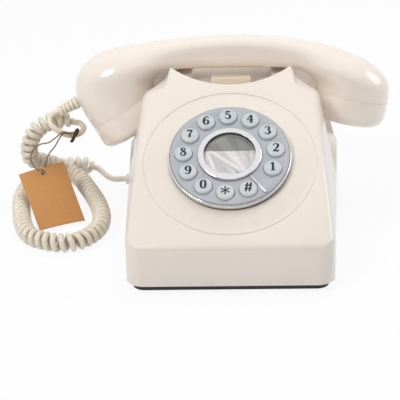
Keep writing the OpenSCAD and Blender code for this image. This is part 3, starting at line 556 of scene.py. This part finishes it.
screw_steel = bright("screw_steel", (0.56, 0.57, 0.58), rough=0.25)
plated_steel = bright("plated_steel", (0.62, 0.63, 0.64), rough=0.2)
bell_metal = bright("bell_metal", (0.7, 0.66, 0.55), rough=0.14)
capsule_metal = bright("capsule_metal", (0.5, 0.5, 0.52), rough=0.3)
copper_winding = bright("copper_winding", (0.6, 0.26, 0.12), rough=0.3)
board_green = moulded(
    "board_green", (0.02, 0.16, 0.075), (0.012, 0.1, 0.045), rough=0.3, coat=0.5, relief=0.1
)
black_plastic = moulded(
    "black_plastic", (0.016, 0.016, 0.018), (0.009, 0.009, 0.01), rough=0.4, relief=0.08
)
membrane_rubber = moulded(
    "membrane_rubber", (0.25, 0.26, 0.28), (0.2, 0.21, 0.23), rough=0.7, relief=0.15
)

# The coil's winding shows its turns as fine ridges round its upright axis.
winding = copper_winding.node_tree
turns = added(
    winding, "TexWave", {"Scale": 600, "Distortion": 0.4}, wave_type="BANDS", bands_direction="Z"
)
ridges = added(winding, "Bump", {"Strength": 0.6, "Distance": 0.0002})
winding.links.new(first_of(winding, "TEX_COORD").outputs["Object"], turns.inputs["Vector"])
winding.links.new(turns.outputs["Fac"], ridges.inputs["Height"])
winding.links.new(ridges.outputs["Normal"], shader_of(copper_winding).inputs["Normal"])

for node, material in (
    ("cover_screws", screw_steel), ("ringer_bracket", plated_steel),
    ("ringer_clapper", plated_steel), ("ringer_gongs", bell_metal),
    ("ringer_coil", copper_winding), ("main_board", board_green),
    ("keypad_board", board_green), ("keypad_frame", black_plastic),
    ("keypad_membrane", membrane_rubber), ("hook_switch", black_plastic),
    ("line_jack", black_plastic), ("handset_jack", black_plastic),
    ("microphone_capsule", capsule_metal), ("receiver_capsule", capsule_metal),
):
    coat_node(node, material)


# ---- Dial ----
# A chromed rim on a low mound holds the grey-lilac key plate, with a chromed ring round a paper
# card under a clear window in its middle. Painted shade darkens the chrome's colour in its nooks.
chrome = bright("chrome", (0.86, 0.87, 0.89))
chrome_tree = chrome.node_tree
chrome_colour = shader_of(chrome).inputs["Base Color"]
# Painted shade: where ambient occlusion finds a nook, the chrome's colour is mixed towards a dark
# tone.
nook = added(chrome_tree, "AmbientOcclusion", {"Distance": 0.003})
in_the_open = carried(chrome_tree, nook.outputs["AO"], 0, 1, 0.7, 1)
nook_painted_shade = added(chrome_tree, "Mix", data_type="RGBA")
nook_painted_shade.inputs["A"].default_value = (0.09, 0.08, 0.07, 1)
chrome_tree.links.new(in_the_open, nook_painted_shade.inputs["Factor"])
chrome_tree.links.new(chrome_colour.links[0].from_socket, nook_painted_shade.inputs["B"])
chrome_tree.links.new(nook_painted_shade.outputs["Result"], chrome_colour)
for trim in ("dial_rim", "centre_ring", "finger_stop"):
    dressed(trim, chrome, edge=0.0002)

plate_lilac = moulded(
    "plate_lilac", (0.48, 0.495, 0.53), (0.445, 0.46, 0.495), rough=0.3, coat=0.2
)
dressed("dial_plate", plate_lilac, edge=0.0003)


def worked(tree, operation, a, b):
    """Arithmetic with an output and either a second output or a number. Gives its output."""
    node = added(tree, "Math", operation=operation)
    tree.links.new(a, node.inputs[0])
    if isinstance(b, float):
        node.inputs[1].default_value = b
    else:
        tree.links.new(b, node.inputs[1])
    return node.outputs[0]


# The card is white paper. A grey-green field covers its upper part, down to a straight edge.
press = next(joint for joint in frame["joints"] if joint["name"] == "key_1_press")
slope = math.asin(press["axis"][1])
up_slope = Vector((0, math.cos(slope), math.sin(slope)))
out_of_face = Vector((0, -math.sin(slope), math.cos(slope)))
card_low, card_high = (Vector(corner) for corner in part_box("label_card"))
field_above_middle = 0.0042
field_edge = up_slope.dot((card_low + card_high) / 2) + field_above_middle
card_paper = moulded(
    "card_paper", (0.98, 0.955, 0.955), (0.97, 0.945, 0.945), rough=0.6, relief=0.1
)
card_tree = card_paper.node_tree
reach_up = added(card_tree, "VectorMath", operation="DOT_PRODUCT")
reach_up.inputs[1].default_value = up_slope
card_tree.links.new(first_of(card_tree, "TEX_COORD").outputs["Object"], reach_up.inputs[0])
above = worked(card_tree, "GREATER_THAN", reach_up.outputs["Value"], field_edge)
printed_over(card_paper, above, (0.345, 0.355, 0.325))
coat_node("label_card", card_paper)

window_clear = bpy.data.materials.new("window_clear")
window_shader = shader_of(window_clear)
window_shader.inputs["Base Color"].default_value = (0.96, 0.97, 0.97, 1)
window_shader.inputs["Alpha"].default_value = 0.07
window_shader.inputs["IOR"].default_value = 1.49
window_tree = window_clear.node_tree
smears = noise(window_tree, added(window_tree, "TexCoord"), {"Scale": 90})
window_tree.links.new(carried(window_tree, smears, 0.02, 0.08), window_shader.inputs["Roughness"])
coat_node("label_window", window_clear)


# ---- Keys ----
# Twelve round buttons of pale blue-grey translucent plastic, each with a black character printed
# on its flat top.
key_plastic = moulded(
    "key_plastic", (0.62, 0.665, 0.675), (0.58, 0.625, 0.64), rough=0.22, coat=0.3, glow=0.15
)
ink = moulded("ink", (0.012, 0.012, 0.016), (0.018, 0.018, 0.022), rough=0.4)

# Each character is drawn with a broad pen. A stroke is a row of points, each given as its place
# across and up, in heights of a figure, and half the width of the line there.
bowl_below = [
    (0.0, 0.05, 0.045), (0.15, -0.03, 0.07), (0.21, -0.2, 0.1), (0.14, -0.37, 0.085),
    (-0.03, -0.455, 0.045), (-0.2, -0.36, 0.045), (-0.19, -0.28, 0.08),
]
six = [
    (0.18, 0.29, 0.08), (0.2, 0.37, 0.045), (0.05, 0.455, 0.045), (-0.12, 0.34, 0.075),
    (-0.21, 0.05, 0.105), (-0.19, -0.25, 0.1), (-0.07, -0.43, 0.06), (0.07, -0.44, 0.055),
    (0.2, -0.3, 0.09), (0.21, -0.13, 0.095), (0.13, 0.03, 0.06), (0.0, 0.07, 0.04),
    (-0.14, -0.03, 0.04),
]
pen_strokes = {
    "1": [
        [(0.02, -0.43, 0.1), (0.02, 0.41, 0.1)], [(0.0, 0.45, 0.05), (-0.18, 0.27, 0.045)],
        [(-0.2, -0.455, 0.045), (0.24, -0.455, 0.045)],
    ],
    "2": [
        [
            (-0.18, 0.24, 0.085), (-0.2, 0.36, 0.05), (0.0, 0.455, 0.045), (0.18, 0.36, 0.09),
            (0.2, 0.17, 0.105), (0.08, -0.05, 0.075), (-0.12, -0.25, 0.05), (-0.25, -0.43, 0.045),
        ],
        [(-0.25, -0.41, 0.07), (0.0, -0.37, 0.095), (0.19, -0.42, 0.08), (0.26, -0.24, 0.035)],
    ],
    "3": [
        [
            (-0.18, 0.27, 0.08), (-0.2, 0.36, 0.045), (-0.02, 0.455, 0.045), (0.15, 0.35, 0.085),
            (0.15, 0.18, 0.085), (0.0, 0.05, 0.045),
        ],
        bowl_below,
    ],
    "4": [
        [(0.1, -0.43, 0.1), (0.1, 0.4, 0.1)], [(0.06, 0.44, 0.045), (-0.28, -0.14, 0.045)],
        [(-0.28, -0.17, 0.045), (0.28, -0.17, 0.045)],
        [(-0.06, -0.455, 0.045), (0.26, -0.455, 0.045)],
    ],
    "5": [
        [(-0.16, 0.41, 0.08), (0.04, 0.39, 0.09), (0.21, 0.43, 0.05)],
        [(-0.19, 0.42, 0.05), (-0.2, 0.04, 0.045)],
        [(-0.2, 0.04, 0.04), (-0.02, 0.12, 0.055), *bowl_below[1:]],
    ],
    "6": [six],
    "7": [
        [
            (-0.24, 0.24, 0.04), (-0.22, 0.37, 0.06), (-0.1, 0.41, 0.09), (0.07, 0.37, 0.09),
            (0.24, 0.43, 0.05),
        ],
        [(0.24, 0.43, 0.045), (0.08, 0.12, 0.06), (-0.02, -0.14, 0.095), (-0.03, -0.4, 0.11)],
    ],
    "8": [
        [
            (0.0, 0.455, 0.045), (-0.14, 0.38, 0.075), (-0.16, 0.24, 0.09), (-0.04, 0.1, 0.09),
            (0.1, -0.02, 0.09), (0.2, -0.17, 0.1), (0.16, -0.37, 0.075), (0.0, -0.455, 0.045),
            (-0.17, -0.38, 0.065), (-0.22, -0.22, 0.07), (-0.13, -0.06, 0.045), (0.02, 0.05, 0.04),
            (0.14, 0.17, 0.05), (0.16, 0.32, 0.065), (0.0, 0.455, 0.045),
        ],
    ],
    "9": [[(-across, -up, half) for across, up, half in six]],
    "0": [
        [
            (0.0, 0.455, 0.045), (-0.17, 0.33, 0.085), (-0.21, 0.0, 0.105), (-0.17, -0.33, 0.085),
            (0.0, -0.455, 0.045), (0.17, -0.33, 0.085), (0.21, 0.0, 0.105), (0.17, 0.33, 0.085),
            (0.0, 0.455, 0.045),
        ],
    ],
    "star": [
        [(-0.36 * math.sin(a), -0.36 * math.cos(a), 0.06), (0, 0, 0.035),
         (0.36 * math.sin(a), 0.36 * math.cos(a), 0.06)]
        for a in (0, math.pi / 3, -math.pi / 3)
    ],
    "hash": [
        [(-0.2, -0.4, 0.06), (-0.06, 0.4, 0.06)], [(0.07, -0.4, 0.06), (0.21, 0.4, 0.06)],
        [(-0.29, -0.15, 0.05), (0.26, -0.15, 0.05)], [(-0.26, 0.15, 0.05), (0.29, 0.15, 0.05)],
    ],
}
figure_height = 0.0074
symbol_growth = 1.25
figure_lift = 0.0009
boldness = 1.15
stroke_step = 0.025
ink_depth = 0.00005
ink_half_drawn = 0.1
flat_top = 0.0001


def drawn_stroke(stroke):
    """A pen stroke as a flat-lying strand, in heights of a figure."""
    points = smooth_line(stroke, stroke_step)
    line = [(p.x, p.y, 0) for p in points]
    return strand("stroke", line, 2, sides=2, widths=[boldness * p.z for p in points])


for character, strokes in pen_strokes.items():
    key = "key_" + character
    dressed(key, key_plastic, edge=0.0002)
    corners = [v.co for v in nodes[key].data.vertices]
    top = max(c.dot(out_of_face) for c in corners)
    top_corners = [c for c in corners if c.dot(out_of_face) > top - flat_top]
    centre = sum(top_corners, Vector()) / len(top_corners)
    print_on_key = joined([drawn_stroke(stroke) for stroke in strokes], key + "_print")
    place = centre + ink_depth * out_of_face + figure_lift * up_slope
    height = figure_height * (symbol_growth if character in ("star", "hash") else 1)
    size = Matrix.Diagonal((height, height, ink_depth / ink_half_drawn, 1))
    print_on_key.data.transform(
        Matrix.Translation(place) @ Matrix.Rotation(slope, 4, "X") @ size
    )
    print_on_key.data.materials.append(ink)
    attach(print_on_key, key)


# ---- Handset ----
# A hollow moulding of the same cream plastic, smooth all over like an egg at both ends, with a
# turned cap screwed over each of its two cups.
def lofted(node, material):
    """A node's own form as a smooth surface: its triangles paired up, and rounded."""
    levels = 2
    piece = taken(node)
    bpy.ops.mesh.tris_convert_to_quads(
        face_threshold=math.radians(50), shape_threshold=math.radians(180)
    )
    bpy.ops.mesh.select_all(action="DESELECT")
    bpy.ops.mesh.select_mode(type="EDGE")
    bpy.ops.mesh.edges_select_sharp(sharpness=math.radians(50))
    bpy.ops.transform.edge_crease(value=1)
    bpy.ops.object.mode_set(mode="OBJECT")
    rounded = piece.modifiers.new("rounded", "SUBSURF")
    rounded.levels = levels
    rounded.render_levels = levels
    bpy.ops.object.modifier_apply(modifier="rounded")
    return put_in_place(piece, node, material, 40)


handset_cream = moulded(
    "handset_cream", (0.93, 0.84, 0.755), (0.91, 0.815, 0.725), rough=0.2, coat=0.5, glow=0.1
)
lofted("handset_body", handset_cream)
for cap in ("mouthpiece_cap", "earpiece_cap"):
    dressed(cap, handset_cream, edge=0.0003)


# ---- Studio ----
# A plain pale floor, a white surround and three soft lamps: the strongest high up in front on the
# left, one overhead and a low one behind on the right.
bpy.ops.object.select_all(action="DESELECT")
bpy.ops.mesh.primitive_plane_add(size=6, location=(0, 0, 0))
floor = bpy.context.object
floor.name = "floor"
floor_paint = bpy.data.materials.new("floor_paint")
floor_shader = shader_of(floor_paint)
floor_shader.inputs["Base Color"].default_value = (0.86, 0.87, 0.91, 1)
floor_shader.inputs["Roughness"].default_value = 0.9
paint = floor_paint.node_tree
rays = added(paint, "LightPath").outputs
white_where = worked(paint, "MAXIMUM", rays["Is Camera Ray"], rays["Is Glossy Ray"])
white = added(paint, "Emission")
whitened = added(paint, "MixShader")
paint.links.new(worked(paint, "MULTIPLY", white_where, 0.9), whitened.inputs["Fac"])
paint.links.new(floor_shader.outputs["BSDF"], whitened.inputs[1])
paint.links.new(white.outputs["Emission"], whitened.inputs[2])
paint.links.new(whitened.outputs["Shader"], paint.nodes["Material Output"].inputs["Surface"])
floor.data.materials.append(floor_paint)

# The world is white where it is seen, and dim where it lights. In shiny surfaces it has a dark side
# low down in front, where a studio is left unlit.
world = bpy.data.worlds.new("studio")
scene.world = world
world.use_nodes = True
sky = world.node_tree
paths = added(sky, "LightPath").outputs
axes = added(sky, "SeparateXYZ")
sky.links.new(added(sky, "TexCoord").outputs["Generated"], axes.inputs["Vector"])
in_front = carried(sky, axes.outputs["Y"], 0, 1, -0.15, -0.6, way="SMOOTHSTEP")
low_down = carried(sky, axes.outputs["Z"], 0, 1, 0.75, 0.4, way="SMOOTHSTEP")
in_gloss = carried(sky, worked(sky, "MULTIPLY", in_front, low_down), 0.95, 0.05)
lit = added(sky, "Mix", {"A": 0.42})
sky.links.new(paths["Is Glossy Ray"], lit.inputs["Factor"])
sky.links.new(in_gloss, lit.inputs["B"])
seen = worked(sky, "MAXIMUM", paths["Is Camera Ray"], paths["Is Transmission Ray"])
strength = added(sky, "Mix", {"B": 1})
sky.links.new(seen, strength.inputs["Factor"])
sky.links.new(lit.outputs["Result"], strength.inputs["A"])
surround = sky.nodes["Background"]
surround.inputs["Color"].default_value = (1, 1, 1, 1)
sky.links.new(strength.outputs["Result"], surround.inputs["Strength"])


def soft_lamp(name, place, target, width, power, colour=(1, 1, 1)):
    """A square lamp that points at a place."""
    lamp = bpy.data.objects.new(name, bpy.data.lights.new(name, "AREA"))
    lamp.data.size = width
    lamp.data.energy = power
    lamp.data.color = colour
    lamp.location = place
    lamp.rotation_euler = (Vector(target) - Vector(place)).to_track_quat("-Z", "Y").to_euler()
    scene.collection.objects.link(lamp)
    return lamp


middle_of_case = (0, 0, 0.05)
soft_lamp("key_lamp", (-0.75, -0.75, 1.15), middle_of_case, 0.5, 8.2, (1, 0.985, 0.97))
top_lamp = soft_lamp("top_lamp", (0.1, 0.3, 1.4), middle_of_case, 0.8, 6.1)
top_lamp.visible_glossy = False
soft_lamp("side_lamp", (0.95, 0.3, 0.55), (0.06, 0.05, 0.05), 0.5, 2.4)

scene.view_settings.view_transform = "Standard"
